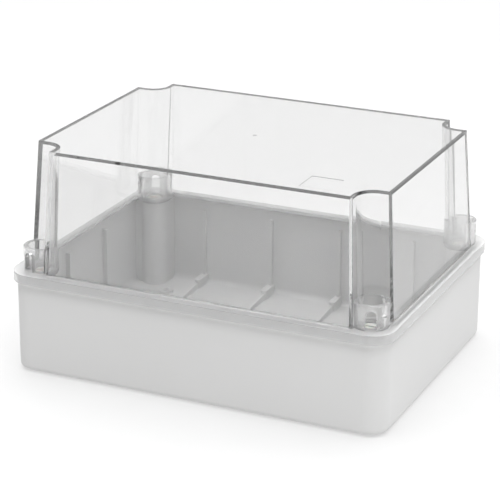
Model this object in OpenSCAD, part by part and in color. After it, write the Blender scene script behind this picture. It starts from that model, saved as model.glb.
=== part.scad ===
// Hinged enclosure: an opaque thermoplastic base and a deep, clear
// polycarbonate lid. Two quarter-turn screws hold the front edge. At the rear
// the lid hangs on two posts that rise out of the base as it swings open.
// X runs along the long side, Y to the hinge side, Z up.
// The origin is the middle of the underside.

/* [Overall size] */
// Outside length of the base, along X
body_l = 312; // [240:1:400]
// Outside width of the base, along Y
body_w = 234; // [180:1:320]
// Height of the base rim above the underside
rim_h = 78; // [72:1:140]
// Height of the lid top above the underside
total_h = 181; // [140:1:260]

/* [Base] */
// Thickness of the base walls
base_wall = 3; // [2.4:0.1:4]
// Thickness of the floor
floor_t = 3; // [2.4:0.1:5]
// Radius of the upright outer corners
corner_r = 16; // [12:0.5:22]
// Radius of the edge round the underside
bottom_edge_r = 5; // [3:0.5:7]
// Radius of the edge round the floor inside
floor_edge_r = 5; // [2:0.5:6]
// Distance from one wall rib to the next
rib_pitch = 63; // [45:1:80]
// How far the row of ribs on a long side is off the middle
rib_shift = -2; // [-10:0.5:10]
// Thickness of a wall rib
rib_t = 2.6; // [1.2:0.1:3.5]
// How far a wall rib stands off the wall
rib_d = 4; // [2:0.1:5]
// Distance from the rim down to the top of the ribs
rib_drop = 8; // [4:0.5:16]
// Length of the sloping ridge at the foot of a rib
ridge_l = 50; // [30:1:70]
// Height of that ridge at the wall
ridge_h = 7; // [6:0.5:18]
// Height of that ridge at its free end
ridge_end_h = 3; // [1:0.5:5]
// Thickness of that ridge
ridge_t = 3; // [2:0.1:5]
// Length of the thicker foot that the ridge starts from
foot_l = 19; // [10:1:28]
// Height of that foot
foot_h = 8; // [7.5:0.5:20]
// Thickness of that foot
foot_t = 5.5; // [5.2:0.1:8]

/* [Wall fixing] */
// Hole spacing of the wall fixing along X
fix_x = 236; // [150:1:260]
// Hole spacing of the wall fixing along Y
fix_y = 156; // [100:1:180]
// Diameter of a wall fixing hole
fix_d = 5.5; // [4:0.5:7]
// Radius of the raised pad round a fixing hole
fix_pad_r = 6.5; // [5:0.5:9]
// Height of that pad above the floor
fix_pad_h = 2; // [1:0.5:4]

/* [Corner wells] */
// Distance from the end of the base to the screw axis
screw_inset_x = 18; // [16:0.5:24]
// Distance from the long side of the base to the screw axis
screw_inset_y = 19; // [16:0.5:24]
// Thickness of the wall round a corner well
well_wall = 2; // [1.8:0.1:3]
// Distance from the screw axis in to the cross wall of a well
cross_wall = 7; // [5:0.25:9]
// Radius of the bore that runs up a column from the underside
column_bore_r = 9; // [8.7:0.1:9.4]
// Thickness of the webs that tie a column to the walls
web_t = 2; // [1.5:0.1:3]
// Distance from the top of a column down to its webs
web_drop = 8; // [4:0.5:20]

/* [Lid] */
// Thickness of the lid walls
lid_wall = 3; // [2.4:0.1:4]
// Thickness of the lid top
lid_top_t = 3; // [2.4:0.1:4]
// Draft of the lid walls, in degrees
lid_draft = 3.6; // [1:0.1:6]
// Radius of a corner flute at the lid top, about the screw axis
flute_r = 14; // [11:0.5:18]
// Draft of the corner flutes, in degrees
flute_draft = 2.7; // [0:0.1:4]
// Distance from the end of the base in to the foot of the lid wall
lid_foot_x = 4; // [3:0.5:6]
// Distance from the long side of the base in to the foot of the lid wall
lid_foot_y = 5; // [3:0.5:7]
// How far the flange stands out past the base
flange_out = 3; // [2.5:0.1:5]
// Thickness of the flange
flange_t = 1.5; // [1.2:0.1:3]
// How far the skirt reaches below the rim
skirt_drop = 3.7; // [2:0.1:6]
// Clearance between the skirt and the base
skirt_gap = 0.5; // [0.3:0.05:0.9]
// Height of the screw bosses above the flange
boss_h = 19; // [15:0.5:30]
// Outer radius of a screw boss
boss_r = 14; // [12:0.25:15]
// Radius of the bore in a screw boss
boss_bore_r = 10; // [9:0.25:11]
// Width of the arched slot in the outer side of a boss
arch_w = 8; // [5:0.5:10]
// Height of that slot
arch_h = 15.5; // [8:0.5:17]
// Angle by which the slot is turned out to the end, in degrees
arch_turn = 20; // [0:5:45]
// Diameter of the hole for a sealing wire
wire_d = 2; // [1:0.5:3]
// Angle from the slot round to that hole, in degrees
wire_turn = 50; // [40:5:60]
// Distance from the top of a boss down to that hole
wire_drop = 9; // [4:0.5:12]
// How far the screw cup reaches below the rim
cup_depth = 8; // [6:0.5:10]
// Outer radius of the screw cup
cup_r = 8.8; // [8.6:0.1:9.4]
// Thickness of the wall of the screw cup
cup_wall = 1.3; // [1.1:0.1:1.5]
// Clearance between the screw cup and its well
cup_gap = 0.6; // [0.5:0.05:1]
// Thickness of the screw seat at the bottom of the cup
seat_t = 3; // [2:0.1:4]
// Diameter of the gate mark in the middle of the lid top
gate_d = 3; // [2:0.5:5]
// Side of the square, bare marking field on the lid top
field_s = 25; // [15:1:35]
// Distance from the middle of the lid to that field along X
field_x = 92; // [60:1:100]
// Distance from the middle of the lid to that field along Y
field_y = 86; // [50:1:88]
// Depth of the gate mark and of the marking field
mark_depth = 0.3; // [0.2:0.1:0.6]

/* [Seals] */
// Thickness of the lid seal
gasket_t = 2.5; // [1.5:0.1:4]
// Distance from the seal to each edge of the rim
gasket_side = 0.1; // [0.05:0.05:0.4]
// Thickness of the rib that keeps the seal in place
keeper_t = 1.2; // [1:0.1:1.8]
// Clearance beside and below that rib
keeper_gap = 0.3; // [0.2:0.05:0.5]
// Section diameter of the ring under a screw head
ring_d = 2.3; // [1.5:0.1:3]

/* [Screws] */
// Radius of a screw shank
shank_r = 4; // [3.5:0.1:4.5]
// Radius of a screw head
head_r = 7; // [6.6:0.1:7.2]
// Thickness of a screw head
head_t = 5; // [3.5:0.5:7]
// Bevel round a screw head
head_bevel = 1; // [0.5:0.1:1.5]
// Width of the driver slot
slot_w = 2.4; // [1.5:0.1:3]
// Depth of the driver slot
slot_d = 2.6; // [1.5:0.1:3]
// Radius of the cross pin that locks a screw
cross_pin_r = 1.7; // [1.4:0.1:2]
// Reach of the cross pin from the screw axis
cross_pin_reach = 7.2; // [6.6:0.1:7.5]
// Thickness of the keyhole ledge that the cross pin turns under
ledge_t = 4; // [3:0.5:6]
// Distance from the top of a front column down to that ledge
ledge_drop = 6; // [4:0.5:8]
// Distance from the screw seat down to the top of a front column
front_column_drop = 4; // [3:0.5:6]
// Clearance round the shank and the cross pin in the keyhole
keyhole_gap = 1; // [0.8:0.1:1.2]
// Outer radius of the washer that keeps a screw in the lid
washer_r = 6.25; // [5.5:0.25:6.75]
// Thickness of that washer
washer_t = 1.1; // [0.8:0.1:1.4]
// Clearance between faces that slide or turn on each other
run_gap = 0.3; // [0.2:0.05:0.4]

/* [Hinge] */
// Distance from the screw seat down to the hinge pin
pin_drop = 7; // [6.5:0.1:9]
// Radius of the hinge pin
pin_r = 1.5; // [1.2:0.1:1.8]
// Radius of the round ends that the pin passes through
eye_r = 3.8; // [3.5:0.1:3.9]
// Thickness of the tongue under a hinge head
tongue_t = 3; // [2.5:0.1:3.4]
// How far the posts rise while the lid opens
hinge_lift = 47.2; // [20:0.1:60]
// Distance from the hinge pin up to the end of the shank above it
shank_clear = 5; // [4.5:0.1:6]
// Distance from the round end of a tongue down to the bottom of its fork
fork_clear = 1.9; // [0.5:0.1:3]
// Distance from the hinge pin down to the top of a rear column
rear_column_drop = 5; // [4.5:0.5:8]
// How far each end of the hinge pin stays inside the post
pin_inset = 0.5; // [0.3:0.1:1]
// Length of the collar that guides a post
guide_l = 3.7; // [3:0.1:8]
// Clearance between the stop ring at the foot of a post and the column bore
stop_gap = 0.4; // [0.3:0.05:0.8]
// Height of that stop ring
stop_h = 2.5; // [2:0.1:4]
// Play left above that ring when the lid is fully open
stop_play = 0.4; // [0.3:0.05:1]
// How far a post stands out below that ring
post_foot = 0.2; // [0.2:0.1:1]

/* [Hidden] */
$fn = 64;
base_color = [0.82, 0.83, 0.84];
clear_color = [0.90, 0.93, 0.95, 0.35];
seal_color = [0.50, 0.51, 0.52];
nylon_color = [0.88, 0.88, 0.86];
steel_color = [0.70, 0.71, 0.73];
eps = 0.01;      // overrun of a cut past the face that it opens
over = 1;        // the same where more room is left behind that face
fit = 0.05;      // radial clearance of a pressed-on piece

// screw and hinge axes
cx = body_l / 2 - screw_inset_x;
cy = body_w / 2 - screw_inset_y;

// levels of the lid
flange_z = rim_h + gasket_t;
flange_top = flange_z + flange_t;
skirt_z = rim_h - skirt_drop;
boss_top = flange_top + boss_h;
seat_z = rim_h - cup_depth;
seat_top = seat_z + seat_t;
lid_a = body_l / 2 - lid_foot_x;
lid_b = body_w / 2 - lid_foot_y;
well_r = cup_r + cup_gap;
flange_l = body_l + 2 * flange_out;
flange_w = body_w + 2 * flange_out;
flange_r = corner_r + flange_out;

// levels of the fasteners
head_z = seat_top + run_gap + ring_d;
washer_z = seat_z - run_gap - washer_t;
pin_z = seat_z - pin_drop;
shank_end = pin_z + shank_clear;
slot_bottom = pin_z - eye_r - fork_clear;
rear_column_h = pin_z - rear_column_drop;
chamber_top = rear_column_h - guide_l;
stop_z = chamber_top - hinge_lift - stop_play - stop_h;
front_column_h = seat_z - front_column_drop;
ledge_top = front_column_h - ledge_drop;
ledge_z = ledge_top - ledge_t;
cross_pin_z = ledge_z - 2 * run_gap - cross_pin_r;
tip_z = cross_pin_z - 2 * cross_pin_r;

// ---------------------------------------------------------------- helpers

module at_corners() {
    for (sx = [-1, 1], sy = [-1, 1])
        translate([sx * cx, sy * cy, 0]) children();
}

// rectangle l by w with round corners
module round_rect(l, w, r) {
    square([l - 2 * r, w], center = true);
    square([l, w - 2 * r], center = true);
    for (sx = [-1, 1], sy = [-1, 1])
        translate([sx * (l / 2 - r), sy * (w / 2 - r)]) circle(r);
}

// outline of the sealed space: a rectangle of half sides a and b, less a round
// well of radius r at each screw axis and its ways out to the two walls. The
// well is open over its full width to the long side, where the hinge swings,
// and down to q short of the axis to the end wall.
module sealed(a, b, r, q) {
    difference() {
        square([2 * a, 2 * b], center = true);
        for (sx = [0, 1], sy = [0, 1])
            mirror([sx, 0]) mirror([0, sy]) translate([cx, cy]) {
                circle(r);
                translate([-r, 0]) square([r + screw_inset_x + over, screw_inset_y + over]);
                translate([0, -q]) square([screw_inset_x + over, q + screw_inset_y + over]);
            }
    }
}

module tube(h, r, bore) {
    difference() {
        cylinder(h = h, r = r);
        translate([0, 0, -eps]) cylinder(h = h + 2 * eps, r = bore);
    }
}

// ---------------------------------------------------------------- base

// block l by w by h with upright corners of radius r and an edge of radius e
// round its underside
module tub_block(l, w, h, r, e) {
    translate([0, 0, e]) linear_extrude(h - e) round_rect(l, w, r);
    linear_extrude(2 * e) round_rect(l - 2 * e, w - 2 * e, r - e);
    for (s = [-1, 1]) {
        translate([0, s * (w / 2 - e), e]) rotate([0, 90, 0])
            cylinder(h = l - 2 * r, r = e, center = true);
        translate([s * (l / 2 - e), 0, e]) rotate([90, 0, 0])
            cylinder(h = w - 2 * r, r = e, center = true);
    }
    for (sx = [-1, 1], sy = [-1, 1])
        translate([sx * (l / 2 - r), sy * (w / 2 - r), e])
            rotate_extrude() translate([r - e, 0]) circle(e);
}

// walls that carry the seal round the inner side of each screw well
module well_walls() {
    translate([0, 0, floor_t / 2]) linear_extrude(rim_h - floor_t / 2) difference() {
        sealed(body_l / 2 - base_wall / 2, body_w / 2 - base_wall / 2, well_r, cross_wall - well_wall);
        sealed(body_l / 2 - base_wall, body_w / 2 - base_wall, well_r + well_wall, cross_wall);
    }
}

// webs from a column to both outer walls
module column_webs(sx, sy, h) {
    translate([sx * cx, sy * cy, 0]) {
        translate([sx > 0 ? 0 : base_wall / 2 - screw_inset_x, -web_t / 2, floor_t / 2])
            cube([screw_inset_x - base_wall / 2, web_t, h - web_drop]);
        translate([-web_t / 2, sy > 0 ? 0 : base_wall / 2 - screw_inset_y, floor_t / 2])
            cube([web_t, screw_inset_y - base_wall / 2, h - web_drop]);
    }
}

// rib on a long side, with its foot and the ridge that runs in from it, drawn
// for the +Y wall
module long_side_rib(h) {
    face = body_w / 2 - base_wall;
    root = body_w / 2 - base_wall / 2;
    translate([-rib_t / 2, face - rib_d, 0]) cube([rib_t, rib_d + root - face, h]);
    translate([-foot_t / 2, face - foot_l + foot_t / 2, 0])
        cube([foot_t, foot_l - foot_t / 2 + root - face, foot_h + floor_t / 2]);
    translate([0, face - foot_l + foot_t / 2, 0]) cylinder(h = foot_h + floor_t / 2, d = foot_t);
    rotate([90, 0, 90]) linear_extrude(ridge_t, center = true)
        polygon([[face - ridge_l, 0], [face, 0], [face, ridge_h + floor_t / 2],
            [face - ridge_l, ridge_end_h + floor_t / 2]]);
}

// ribs up all four walls
module wall_ribs() {
    rib_h = rim_h - rib_drop - floor_t / 2;
    translate([0, 0, floor_t / 2]) {
        for (i = [-1.5 : 1 : 1.5], m = [0, 1])
            translate([i * rib_pitch + rib_shift, 0, 0]) mirror([0, m, 0]) long_side_rib(rib_h);
        for (i = [-0.5, 0.5], m = [0, 1])
            mirror([m, 0, 0]) translate([body_l / 2 - base_wall - rib_d, i * rib_pitch - rib_t / 2, 0])
                cube([rib_d + base_wall / 2, rib_t, rib_h]);
    }
}

// keyhole column for a quarter-turn screw: open below, so that it can be moulded
module keyhole_bores() {
    translate([0, 0, -eps]) cylinder(h = ledge_z + eps, r = column_bore_r);
    translate([0, 0, ledge_top]) cylinder(h = rim_h, r = column_bore_r);
    cylinder(h = rim_h, r = shank_r + keyhole_gap);
    translate([-cross_pin_reach - keyhole_gap, -cross_pin_r - keyhole_gap, 0])
        cube([2 * (cross_pin_reach + keyhole_gap), 2 * (cross_pin_r + keyhole_gap), rim_h]);
}

// guide column for a hinge post: open below for the post and its stop ring
module guide_bores() {
    translate([0, 0, -eps]) cylinder(h = chamber_top + eps, r = column_bore_r);
    cylinder(h = rim_h, r = shank_r + run_gap);
}

module base() {
    color(base_color) difference() {
        union() {
            difference() {
                tub_block(body_l, body_w, rim_h, corner_r, bottom_edge_r);
                translate([0, 0, floor_t])
                    tub_block(body_l - 2 * base_wall, body_w - 2 * base_wall, rim_h,
                        corner_r - base_wall, floor_edge_r);
            }
            well_walls();
            wall_ribs();
            for (sx = [-1, 1]) {
                translate([sx * cx, -cy, floor_t / 2]) cylinder(h = front_column_h - floor_t / 2, r = well_r + well_wall);
                translate([sx * cx, cy, floor_t / 2]) cylinder(h = rear_column_h - floor_t / 2, r = well_r + well_wall);
                column_webs(sx, -1, front_column_h);
                column_webs(sx, 1, rear_column_h);
                for (sy = [-1, 1])
                    translate([sx * fix_x / 2, sy * fix_y / 2, floor_t / 2])
                        cylinder(h = floor_t / 2 + fix_pad_h, r = fix_pad_r);
            }
        }
        for (sx = [-1, 1]) {
            translate([sx * cx, -cy, 0]) keyhole_bores();
            translate([sx * cx, cy, 0]) guide_bores();
            for (sy = [-1, 1])
                translate([sx * fix_x / 2, sy * fix_y / 2, -eps])
                    cylinder(h = floor_t + fix_pad_h + 2 * eps, d = fix_d);
        }
    }
}

// ---------------------------------------------------------------- lid

// half side of the lid at height z, from its half side at the flange top
function drafted(half, z) = half - (z - flange_top) * tan(lid_draft);

// radius of a corner flute at height z
function flute_at(z) = flute_r - (total_h - z) * tan(flute_draft);

// corner flute from z0 to z1, widened by t: a cone about the screw axis, and
// sloping flats that run from it to both lid faces
module flute(z0, z1, t) {
    r0 = flute_at(z0) + t;
    r1 = flute_at(z1) + t;
    rotate_extrude() polygon([[0, z0], [r0, z0], [r1, z1], [0, z1]]);
    translate([0, screw_inset_y, 0]) rotate([90, 0, 0]) linear_extrude(screw_inset_y)
        polygon([[-r0, z0], [screw_inset_x, z0], [screw_inset_x, z1], [-r1, z1]]);
    rotate([90, 0, 90]) linear_extrude(screw_inset_x)
        polygon([[-r0, z0], [screw_inset_y, z0], [screw_inset_y, z1], [-r1, z1]]);
}

// tapered body of the lid from z0 to z1, taken in by t
module dome(z0, z1, t) {
    difference() {
        intersection() {
            rotate([90, 0, 0]) linear_extrude(body_w, center = true)
                polygon([[-drafted(lid_a - t, z0), z0], [drafted(lid_a - t, z0), z0],
                    [drafted(lid_a - t, z1), z1], [-drafted(lid_a - t, z1), z1]]);
            rotate([90, 0, 90]) linear_extrude(body_l, center = true)
                polygon([[-drafted(lid_b - t, z0), z0], [drafted(lid_b - t, z0), z0],
                    [drafted(lid_b - t, z1), z1], [-drafted(lid_b - t, z1), z1]]);
        }
        for (sx = [0, 1], sy = [0, 1])
            mirror([sx, 0, 0]) mirror([0, sy, 0]) translate([cx, cy, 0]) flute(z0 - over, z1 + over, t);
    }
}

// arched slot through the outer side of a boss, drawn for the +X +Y corner
module arch_slot() {
    rotate([0, 0, -arch_turn]) translate([0, boss_bore_r - over, flange_top]) rotate([-90, 0, 0])
        linear_extrude(boss_r - boss_bore_r + 2 * over) {
            translate([-arch_w / 2, arch_w / 2 - arch_h]) square([arch_w, arch_h - arch_w / 2]);
            translate([0, arch_w / 2 - arch_h]) circle(d = arch_w);
        }
}

module wire_hole() {
    rotate([0, 0, -arch_turn - wire_turn]) translate([0, boss_bore_r - over, boss_top - wire_drop])
        rotate([-90, 0, 0]) cylinder(h = boss_r - boss_bore_r + 2 * over, d = wire_d);
}

module lid() {
    keeper_in = base_wall + keeper_gap;
    keeper_r = well_r + well_wall + keeper_gap;
    color(clear_color) difference() {
        union() {
            difference() {
                union() {
                    dome(flange_z, total_h, 0);
                    translate([0, 0, flange_z]) linear_extrude(flange_t)
                        round_rect(flange_l, flange_w, flange_r);
                }
                dome(flange_top, total_h - lid_top_t, lid_wall);
                translate([0, 0, flange_z - eps]) linear_extrude(flange_t + 2 * eps)
                    sealed(lid_a - lid_wall, lid_b - lid_wall, keeper_r + keeper_t,
                        cross_wall + keeper_gap + keeper_t);
            }
            translate([0, 0, skirt_z]) linear_extrude(flange_z - skirt_z + flange_t / 2) difference() {
                round_rect(flange_l, flange_w, flange_r);
                round_rect(body_l + 2 * skirt_gap, body_w + 2 * skirt_gap, corner_r + skirt_gap);
            }
            translate([0, 0, rim_h + keeper_gap]) linear_extrude(gasket_t - keeper_gap + flange_t / 2) difference() {
                sealed(body_l / 2 - keeper_in, body_w / 2 - keeper_in, keeper_r, cross_wall + keeper_gap);
                sealed(body_l / 2 - keeper_in - keeper_t, body_w / 2 - keeper_in - keeper_t,
                    keeper_r + keeper_t, cross_wall + keeper_gap + keeper_t);
            }
            at_corners() {
                translate([0, 0, flange_z]) cylinder(h = boss_top - flange_z, r = boss_r);
                translate([0, 0, seat_z]) cylinder(h = flange_top - seat_z, r = cup_r);
            }
        }
        at_corners() {
            translate([0, 0, flange_top]) cylinder(h = boss_h + eps, r = boss_bore_r);
            translate([0, 0, seat_top]) cylinder(h = boss_h, r = cup_r - cup_wall);
            translate([0, 0, seat_z - eps]) cylinder(h = seat_t + 2 * eps, r = shank_r + run_gap);
        }
        for (sx = [0, 1], sy = [0, 1])
            mirror([sx, 0, 0]) mirror([0, sy, 0]) translate([cx, cy, 0]) {
                arch_slot();
                wire_hole();
            }
        translate([0, 0, total_h - mark_depth]) {
            cylinder(h = 2 * mark_depth, d = gate_d);
            translate([field_x - field_s / 2, -field_y - field_s / 2, 0])
                cube([field_s, field_s, 2 * mark_depth]);
        }
    }
}

module lid_gasket() {
    g = gasket_side;
    color(seal_color) translate([0, 0, rim_h]) linear_extrude(gasket_t) difference() {
        sealed(body_l / 2 - g, body_w / 2 - g, well_r + g, cross_wall - well_wall + g);
        sealed(body_l / 2 - base_wall + g, body_w / 2 - base_wall + g, well_r + well_wall - g, cross_wall - g);
    }
}

// ---------------------------------------------------------------- fasteners

// slotted head with its shank, down to the level z0
module slotted_head(z0) {
    difference() {
        rotate_extrude() polygon([[0, z0], [shank_r, z0], [shank_r, head_z], [head_r, head_z],
            [head_r, head_z + head_t - head_bevel], [head_r - head_bevel, head_z + head_t],
            [0, head_z + head_t]]);
        translate([-head_r, -slot_w / 2, head_z + head_t - slot_d]) cube([2 * head_r, slot_w, slot_d + over]);
    }
}

module quarter_turn_screw() {
    color(nylon_color) difference() {
        slotted_head(tip_z);
        translate([0, 0, cross_pin_z]) rotate([0, 90, 0])
            cylinder(h = 2 * head_r, r = cross_pin_r + fit, center = true);
    }
}

module cross_pin() {
    color(steel_color) translate([0, 0, cross_pin_z]) rotate([0, 90, 0])
        cylinder(h = 2 * cross_pin_reach, r = cross_pin_r, center = true);
}

module hinge_head() {
    color(nylon_color) difference() {
        union() {
            slotted_head(shank_end);
            translate([-tongue_t / 2, -eye_r, pin_z]) cube([tongue_t, 2 * eye_r, shank_clear + over]);
            translate([0, 0, pin_z]) rotate([0, 90, 0]) cylinder(h = tongue_t, r = eye_r, center = true);
        }
        translate([0, 0, pin_z]) rotate([0, 90, 0])
            cylinder(h = 2 * shank_r, r = pin_r + run_gap, center = true);
    }
}

module ring_seal() {
    color(seal_color) translate([0, 0, head_z - ring_d / 2]) rotate_extrude()
        translate([shank_r + fit + ring_d / 2, 0]) circle(d = ring_d);
}

module keep_washer() {
    color(steel_color) translate([0, 0, washer_z]) tube(washer_t, washer_r, shank_r + fit);
}

module hinge_post() {
    gap = tongue_t / 2 + run_gap;
    color(nylon_color) difference() {
        intersection() {
            translate([0, 0, stop_z - post_foot]) cylinder(h = pin_z + shank_r - stop_z + post_foot, r = shank_r);
            union() {
                translate([-shank_r, -shank_r, 0]) cube([2 * shank_r, 2 * shank_r, pin_z]);
                translate([0, 0, pin_z]) rotate([0, 90, 0])
                    cylinder(h = 2 * shank_r, r = shank_r, center = true);
            }
        }
        translate([-gap, -shank_r - over, slot_bottom])
            cube([2 * gap, 2 * (shank_r + over), pin_z + shank_r + over - slot_bottom]);
        translate([0, 0, pin_z]) rotate([0, 90, 0])
            cylinder(h = 2 * (shank_r + over), r = pin_r + fit, center = true);
    }
}

module hinge_pin() {
    color(steel_color) translate([0, 0, pin_z]) rotate([0, 90, 0])
        cylinder(h = 2 * (shank_r - pin_inset), r = pin_r, center = true);
}

module stop_ring() {
    color(steel_color) translate([0, 0, stop_z]) tube(stop_h, column_bore_r - stop_gap, shank_r + fit);
}

// ---------------------------------------------------------------- pieces in place

module front_left_screw() translate([-cx, -cy, 0]) quarter_turn_screw();
module front_right_screw() translate([cx, -cy, 0]) quarter_turn_screw();
module front_left_screw_seal() translate([-cx, -cy, 0]) ring_seal();
module front_right_screw_seal() translate([cx, -cy, 0]) ring_seal();
module front_left_screw_washer() translate([-cx, -cy, 0]) keep_washer();
module front_right_screw_washer() translate([cx, -cy, 0]) keep_washer();
module front_left_cross_pin() translate([-cx, -cy, 0]) cross_pin();
module front_right_cross_pin() translate([cx, -cy, 0]) cross_pin();
module rear_left_hinge_head() translate([-cx, cy, 0]) hinge_head();
module rear_right_hinge_head() translate([cx, cy, 0]) hinge_head();
module rear_left_hinge_seal() translate([-cx, cy, 0]) ring_seal();
module rear_right_hinge_seal() translate([cx, cy, 0]) ring_seal();
module rear_left_hinge_washer() translate([-cx, cy, 0]) keep_washer();
module rear_right_hinge_washer() translate([cx, cy, 0]) keep_washer();
module rear_left_hinge_post() translate([-cx, cy, 0]) hinge_post();
module rear_right_hinge_post() translate([cx, cy, 0]) hinge_post();
module rear_left_hinge_pin() translate([-cx, cy, 0]) hinge_pin();
module rear_right_hinge_pin() translate([cx, cy, 0]) hinge_pin();
module rear_left_stop_ring() translate([-cx, cy, 0]) stop_ring();
module rear_right_stop_ring() translate([cx, cy, 0]) stop_ring();

base();
lid();
lid_gasket();
front_left_screw();
front_right_screw();
front_left_screw_seal();
front_right_screw_seal();
front_left_screw_washer();
front_right_screw_washer();
front_left_cross_pin();
front_right_cross_pin();
rear_left_hinge_head();
rear_right_hinge_head();
rear_left_hinge_seal();
rear_right_hinge_seal();
rear_left_hinge_washer();
rear_right_hinge_washer();
rear_left_hinge_post();
rear_right_hinge_post();
rear_left_hinge_pin();
rear_right_hinge_pin();
rear_left_stop_ring();
rear_right_stop_ring();
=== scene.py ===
# %% [markdown]
# # A hinged enclosure with a clear lid
# The real box is two large mouldings and a handful of small fasteners: an
# opaque, light grey base, and a deep lid of clear polycarbonate. The solids
# come ready made from the part's own model, each in its place and in metres.
# This lesson dresses them: it sets up a studio, builds the plastics out of
# nodes and rounds the moulded edges, so that light can show what they are.

# %% Load the model
import math

import bpy
from mathutils import Matrix, Vector

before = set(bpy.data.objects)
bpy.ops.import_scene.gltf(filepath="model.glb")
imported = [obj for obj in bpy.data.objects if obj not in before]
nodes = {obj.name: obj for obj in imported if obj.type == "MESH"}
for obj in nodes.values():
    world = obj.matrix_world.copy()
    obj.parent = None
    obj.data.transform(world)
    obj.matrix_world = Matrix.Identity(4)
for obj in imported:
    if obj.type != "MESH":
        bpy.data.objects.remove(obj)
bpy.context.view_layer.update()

# %% [markdown]
# ## The camera
# A product picture of such a box is taken from a distance with a long lens,
# so that its upright edges stay nearly parallel. The camera could be aimed
# with a Track To constraint, but a matrix written from a heading, a pitch and
# a small roll says exactly where it looks and never flips.

# %% Place the camera
CAMERA_PLACE = Vector((0.6230, -1.3909, 0.6507))
HEADING, PITCH, ROLL = (math.radians(a) for a in (-24.25, 20.35, 0.33))

ahead = Vector((math.sin(HEADING) * math.cos(PITCH), math.cos(HEADING) * math.cos(PITCH), -math.sin(PITCH)))
level = Vector((math.cos(HEADING), -math.sin(HEADING), 0.0))
above = level.cross(ahead)
right = math.cos(ROLL) * level + math.sin(ROLL) * above
up = -math.sin(ROLL) * level + math.cos(ROLL) * above

camera_data = bpy.data.cameras.new("camera")
camera_data.lens, camera_data.sensor_width = 146.64, 36.0
camera_data.clip_end = 30.0
camera = bpy.data.objects.new("camera", camera_data)
camera.matrix_world = Matrix.Translation(CAMERA_PLACE) @ Matrix((
    (right.x, up.x, -ahead.x), (right.y, up.y, -ahead.y), (right.z, up.z, -ahead.z))).to_4x4()
bpy.context.scene.collection.objects.link(camera)
bpy.context.scene.camera = camera
print("camera at", [round(v, 3) for v in CAMERA_PLACE])

# %% [markdown]
# ## Writing materials as sums
# A material is a graph of nodes, and wiring one by hand takes a line for each
# link. Below, one small class wraps a socket and overloads the arithmetic
# operators, so that `1 - mask` or `0.4 + 0.1 * grain` adds its Math nodes by
# itself. Every other node comes from one method that takes its type, its
# settings and the values or links of its sockets.

# %% Sockets that can be added and multiplied
class Socket:
    """One output of a node, with the arithmetic that materials need."""

    def __init__(self, recipe, link):
        self.recipe, self.link = recipe, link

    def _maths(self, operation, a, b):
        return self.recipe.node("ShaderNodeMath", {"operation": operation}, {0: a, 1: b})

    def __add__(self, other):
        return self._maths("ADD", self, other)

    def __sub__(self, other):
        return self._maths("SUBTRACT", self, other)

    def __rsub__(self, other):
        return self._maths("SUBTRACT", other, self)

    def __mul__(self, other):
        return self._maths("MULTIPLY", self, other)

    __radd__, __rmul__ = __add__, __mul__


# %% A material in the making
class Recipe:
    """A material and the short words that build it."""

    def __init__(self, name):
        self.material = bpy.data.materials.new(name)
        self.material.use_nodes = True
        self.tree = self.material.node_tree
        self.tree.nodes.clear()

    def node(self, kind, settings=None, sockets=None, out=0):
        """One node of a kind; socket values may be links or constants."""
        made = self.tree.nodes.new(kind)
        for name, value in (settings or {}).items():
            setattr(made, name, value)
        for name, value in (sockets or {}).items():
            if isinstance(value, Socket):
                self.tree.links.new(value.link, made.inputs[name])
            else:
                made.inputs[name].default_value = value
        return Socket(self, made.outputs[out]) if len(made.outputs) else None

    def place(self):
        """Where a point lies on the object, in metres."""
        return self.node("ShaderNodeTexCoord", out="Object")

    def noise(self, scale, detail=2.0, rough=0.5):
        """Cloudy values about 0.5; the scale is in cycles per metre."""
        return self.node("ShaderNodeTexNoise", sockets={
            "Vector": self.place(), "Scale": scale, "Detail": detail, "Roughness": rough})

    def mix(self, amount, first, second):
        """Two colours mixed: the first at 0, the second at 1."""
        return self.node("ShaderNodeMix", {"data_type": "RGBA"}, {0: amount, 6: first, 7: second}, out=2)

    def bump(self, height, strength, distance):
        """A normal that follows a height; the distance is in metres."""
        return self.node("ShaderNodeBump", sockets={
            "Height": height, "Strength": strength, "Distance": distance})

    def height(self):
        """How high a point lies on the object, in metres."""
        return self.node("ShaderNodeSeparateXYZ", sockets={"Vector": self.place()}, out="Z")

    def between(self, value, low, high, soft):
        """1 where a value lies from low to high, and 0 outside, with soft ends."""
        rise = self.node("ShaderNodeMapRange", {"interpolation_type": "SMOOTHSTEP"}, {
            "Value": value, "From Min": low - soft, "From Max": low + soft})
        fall = self.node("ShaderNodeMapRange", {"interpolation_type": "SMOOTHSTEP"}, {
            "Value": value, "From Min": high - soft, "From Max": high + soft})
        return rise * (1 - fall)

    def plastic(self, **sockets):
        """One Principled shader, with its sockets' names written with _."""
        return self.node("ShaderNodeBsdfPrincipled", sockets={
            name.replace("_", " "): value for name, value in sockets.items()})

    def blend(self, amount, first, second):
        """Two shaders mixed: all first at 0, all second at 1."""
        return self.node("ShaderNodeMixShader", sockets={0: amount, 1: first, 2: second})

    def close(self, surface, **others):
        """Ends the recipe in its output and hands over the material."""
        self.node("ShaderNodeOutputMaterial", sockets={"Surface": surface, **others})
        print("material:", self.material.name, "nodes:", len(self.tree.nodes))
        return self.material

    def surface(self, **sockets):
        """Closes the recipe with one Principled shader."""
        return self.close(self.plastic(**sockets))


def finish_with(material, *names):
    """Gives CAD pieces their finish."""
    for name in names:
        data = nodes[name].data
        data.materials.clear()
        data.materials.append(material)


# %% [markdown]
# ## The studio
# A clear lid is drawn by what it bends. In an evenly white room it would
# vanish, so the floor and the sheets of light are bright while the room
# behind the camera stays darker: the moulded edges then pick up the dark and
# draw themselves as thin grey lines.

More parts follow.
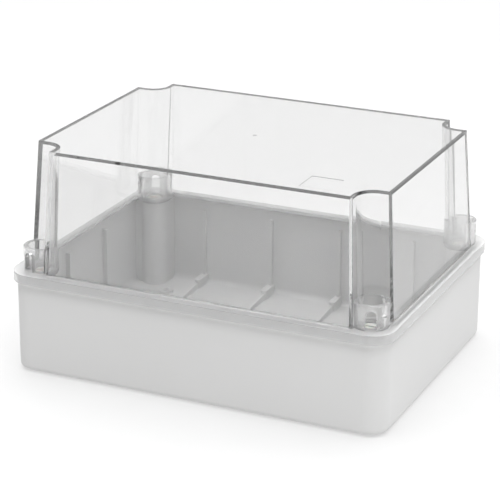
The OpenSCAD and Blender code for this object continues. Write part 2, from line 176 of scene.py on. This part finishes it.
# %% The floor
floor_recipe = Recipe("studio_floor")
paper = floor_recipe.noise(30.0, 3.0)
floor_material = floor_recipe.surface(
    Base_Color=floor_recipe.mix(paper, (0.26, 0.26, 0.26, 1), (0.28, 0.28, 0.28, 1)),
    Roughness=0.9 + 0.05 * paper,
    Emission_Color=(1.0, 1.0, 1.0, 1.0), Emission_Strength=0.51)

FLOOR_HALF, FLOOR_Z = 6.0, -0.0005
floor_data = bpy.data.meshes.new("floor")
floor_corners = [(x * FLOOR_HALF, y * FLOOR_HALF, FLOOR_Z) for x, y in ((-1, -1), (1, -1), (1, 1), (-1, 1))]
floor_data.from_pydata(floor_corners, [], [(0, 1, 2, 3)])
floor_data.materials.append(floor_material)
floor = bpy.data.objects.new("floor", floor_data)
bpy.context.scene.collection.objects.link(floor)
print("floor side", 2 * FLOOR_HALF)

# %% The lights
LIGHT_AIM = Vector((0, 0, 0.09))


def soft_box(name, place, size, watts):
    """A rectangular sheet of light that faces the middle of the object."""
    data = bpy.data.lights.new(name, "AREA")
    data.shape, data.size, data.size_y, data.energy = "RECTANGLE", size[0], size[1], watts
    lamp = bpy.data.objects.new(name, data)
    aim = (LIGHT_AIM - Vector(place)).to_track_quat("-Z", "Y")
    lamp.matrix_world = Matrix.Translation(place) @ aim.to_matrix().to_4x4()
    bpy.context.scene.collection.objects.link(lamp)
    print("light:", name, watts, "W")


soft_box("light_overhead", (0.0, 0.0, 2.6), (3.4, 3.4), 160.0)
soft_box("light_right", (0.8, -1.1, 0.2), (0.5, 0.3), 2.6)

# %% [markdown]
# ## How far a ray may go
# Light that enters the edge of a clear plate runs along inside it, thrown
# back and forth between its faces, before it comes out. With the usual few
# bounces it is given up on the way and every edge turns black, so the paths
# are allowed to be longer.

# %% Longer paths
light_paths = bpy.context.scene.cycles
light_paths.max_bounces = 40
light_paths.glossy_bounces = 32
light_paths.transmission_bounces = 32
print("bounces:", light_paths.max_bounces)

# %% [markdown]
# ## The room
# The room is bright behind the box and darker in front of it. A sphere map
# could say so, but a ramp over the direction of a ray is enough: Generated
# coordinates of a world are that direction, and their dot product with one
# way through the room runs from -1 in front to 1 behind.

# %% A room that is darker in front
ROOM_FRONT, ROOM_SIDE, ROOM_BACK = 0.15, 0.32, 0.9
ROOM_STOPS = ((0.15, ROOM_FRONT), (0.5, ROOM_SIDE), (0.85, ROOM_BACK))
ROOM_STRENGTH = 1.05
BRIGHT_WAY = Vector((0.12, 1.0, 0.0)).normalized()

world = bpy.data.worlds.new("room")
world.use_nodes = True
room_nodes, room_links = world.node_tree.nodes, world.node_tree.links
direction = room_nodes.new("ShaderNodeTexCoord")
along = room_nodes.new("ShaderNodeVectorMath")
along.operation = "DOT_PRODUCT"
along.inputs[1].default_value = BRIGHT_WAY
depth = room_nodes.new("ShaderNodeMapRange")
depth.inputs["From Min"].default_value, depth.inputs["From Max"].default_value = -1.0, 1.0
shades = room_nodes.new("ShaderNodeValToRGB")
shades.color_ramp.elements.new(0.5)
for stop, (spot, shade) in zip(shades.color_ramp.elements, ROOM_STOPS):
    stop.position, stop.color = spot, (shade, shade, shade, 1.0)
room_links.new(direction.outputs["Generated"], along.inputs[0])
room_links.new(along.outputs["Value"], depth.inputs["Value"])
room_links.new(depth.outputs["Result"], shades.inputs["Fac"])
room_links.new(shades.outputs["Color"], room_nodes["Background"].inputs["Color"])
room_nodes["Background"].inputs["Strength"].default_value = ROOM_STRENGTH
bpy.context.scene.world = world
bpy.context.scene.view_settings.view_transform = "Standard"
print("room from", ROOM_FRONT, "to", ROOM_BACK)

# %% [markdown]
# ## The base
# The base is moulded in a filled, flame-retardant thermoplastic against a
# spark-eroded steel tool, so it is an even light grey with a fine matt grain.
# The grain could be an image, but three-dimensional noise needs no unwrapping
# and has the same size on every wall. A slow second noise moves the colour by
# a hair, as a large moulding's shade really does.

# %% Grey thermoplastic
def grained_plastic(name, dark, light, grain_depth=0.00004):
    recipe = Recipe(name)
    cloud = recipe.noise(14.0, 3.0)
    grain = recipe.noise(2600.0, 2.0, 0.6)
    return recipe.surface(
        Base_Color=recipe.mix(cloud, dark, light),
        Roughness=0.46 + 0.14 * grain,
        Specular_IOR_Level=0.42,
        Normal=recipe.bump(grain, 0.35, grain_depth))


finish_with(grained_plastic("grey_thermoplastic", (0.672, 0.672, 0.669, 1), (0.697, 0.697, 0.694, 1)), "base")

# %% [markdown]
# ## The clear lid
# Polycarbonate bends light strongly, with an index of 1.586. It could be
# faked with a see-through film, but then its edges, the flutes at the corners
# and the screw bosses would lose the lines that give the lid its shape. So it
# is a true refracting solid. It also takes a little of the light on the way:
# a wall 3 mm thick hardly shows it, but light that has run the whole length
# of the top plate comes out of the front edge dark. A surface tint can't do
# that, so the darkening is a volume inside the solid.
#
# The dome is polished, and the flange and the skirt a little rougher. A
# second, white plastic is mixed in by height and by the distance from a
# screw axis. In the flange and the skirt it is painted light that brightens
# the band, and in the bosses it makes them cloudy and bright. A trace of it
# on the walls is painted light too, which pales the walls and their edges.

# %% Where white is mixed into the lid: painted light, and cloudy bosses
# heights above the floor, and distances from the middle, in metres
FLANGE_LOW, FLANGE_HIGH = 0.0735, 0.0826
BOSS_HIGH, BOSS_RADIUS = 0.1015, 0.0142
WALL_HIGH = 0.1765
SCREW_X, SCREW_Y = 0.138, 0.098


def from_screw(recipe):
    """How far a point lies from the nearest screw axis, in metres."""
    side = recipe.node("ShaderNodeVectorMath", {"operation": "ABSOLUTE"}, {0: recipe.place()})
    screw = (SCREW_X, SCREW_Y, 0.0)
    offset = recipe.node("ShaderNodeVectorMath", {"operation": "SUBTRACT"}, {0: side, 1: screw})
    flat = recipe.node("ShaderNodeVectorMath", {"operation": "MULTIPLY"}, {0: offset, 1: (1.0, 1.0, 0.0)})
    return recipe.node("ShaderNodeVectorMath", {"operation": "LENGTH"}, {0: flat}, out="Value")


# %% Clear polycarbonate
def clear_plastic(name, tint, loss_per_metre, flange_painted_light, boss_milk, wall_painted_light):
    """Refracting plastic with white mixed in: painted light in the flange and on the walls, cloudiness in the
    bosses.
    """
    recipe = Recipe(name)
    clearest = tuple(c + 0.01 for c in tint[:3]) + (1,)
    flow = recipe.noise(9.0, 1.0)
    haze = recipe.noise(60.0, 3.0)
    height = recipe.height()
    flange = recipe.between(height, FLANGE_LOW, FLANGE_HIGH, 0.0003)
    boss = (recipe.between(height, FLANGE_HIGH, BOSS_HIGH, 0.0003)
            * recipe.between(from_screw(recipe), -0.1, BOSS_RADIUS, 0.0002))
    wall = recipe.between(height, FLANGE_HIGH, WALL_HIGH, 0.0003)
    clear = recipe.plastic(
        Base_Color=recipe.mix(flow, tint, clearest),
        Roughness=0.012 + 0.02 * haze + 0.03 * flange,
        IOR=1.586,
        Transmission_Weight=1.0,
        Normal=recipe.bump(flow, 0.05, 0.002))
    # white plastic: painted light in the flange and on the walls, cloudiness in the bosses
    milk_and_painted_light = recipe.plastic(
        Base_Color=recipe.mix(haze, (0.92, 0.92, 0.92, 1), (0.95, 0.95, 0.95, 1)),
        Roughness=0.35 + 0.1 * haze)
    loss = recipe.node("ShaderNodeVolumeAbsorption", sockets={
        "Color": (0.02, 0.02, 0.02, 1.0), "Density": loss_per_metre})
    # the flange and wall shares of white are painted light; the boss share makes the bosses cloudy
    amount = flange_painted_light * flange + boss_milk * boss + wall_painted_light * wall
    return recipe.close(recipe.blend(amount, clear, milk_and_painted_light), Volume=loss)


# the flange and wall shares of white paint light onto the lid; the boss share makes the bosses cloudy
finish_with(clear_plastic("clear_polycarbonate", (0.950, 0.950, 0.950, 1), loss_per_metre=7.0,
                          flange_painted_light=0.32, boss_milk=0.18, wall_painted_light=0.02), "lid")

# %% [markdown]
# ## Seals and fasteners
# The lid seal and the small rings are a pale grey elastomer with a matt,
# slightly porous skin. The screws, hinge heads and posts are natural nylon,
# which scatters light below its surface, so a little subsurface softens them.
# Washers, pins and stop rings are zinc-plated steel.

# %% Elastomer
def elastomer(name, dark, light):
    recipe = Recipe(name)
    pores = recipe.noise(900.0, 3.0, 0.6)
    return recipe.surface(
        Base_Color=recipe.mix(pores, dark, light),
        Roughness=0.72 + 0.12 * pores,
        Normal=recipe.bump(pores, 0.4, 0.00006))


finish_with(elastomer("grey_elastomer", (0.74, 0.74, 0.74, 1), (0.80, 0.80, 0.80, 1)), "lid_gasket",
            *(n for n in nodes if n.endswith("_seal")))

# %% Nylon
def nylon(name, dark, light):
    recipe = Recipe(name)
    cloud = recipe.noise(160.0, 3.0)
    skin = recipe.noise(1500.0, 2.0)
    return recipe.surface(
        Base_Color=recipe.mix(cloud, dark, light),
        Roughness=0.34 + 0.12 * skin,
        Subsurface_Weight=0.15, Subsurface_Scale=0.0015,
        Normal=recipe.bump(skin, 0.2, 0.00004))


finish_with(nylon("natural_nylon", (0.76, 0.76, 0.73, 1), (0.82, 0.82, 0.79, 1)),
            *(n for n in nodes if n.endswith(("_screw", "_head", "_post"))))

# %% Plated steel
def plated_steel(name):
    recipe = Recipe(name)
    spangle = recipe.noise(420.0, 3.0)
    return recipe.surface(
        Base_Color=recipe.mix(spangle, (0.58, 0.60, 0.62, 1), (0.70, 0.71, 0.73, 1)),
        Metallic=1.0,
        Roughness=0.26 + 0.16 * spangle)


finish_with(plated_steel("plated_steel"), *(n for n in nodes if n.endswith(("_washer", "_pin", "_ring"))))

# %% [markdown]
# ## Moulded edges
# No moulded edge is sharp: the tool gives each a small radius, and in a clear
# part that radius is what draws the line. Rounding every edge in the solid
# model would bury its plain shapes, so a Bevel modifier adds it here to edges
# that turn by more than 30 degrees.

# %% Round the edges
SHARPEST_KEPT = math.radians(30)


def round_edges(name, radius, segments=3):
    bevel = nodes[name].modifiers.new("moulded_edges", "BEVEL")
    bevel.width, bevel.segments = radius, segments
    bevel.limit_method, bevel.angle_limit = "ANGLE", SHARPEST_KEPT
    print("edges of", name, "rounded by", radius)


round_edges("lid", 0.0009)
round_edges("base", 0.0006)
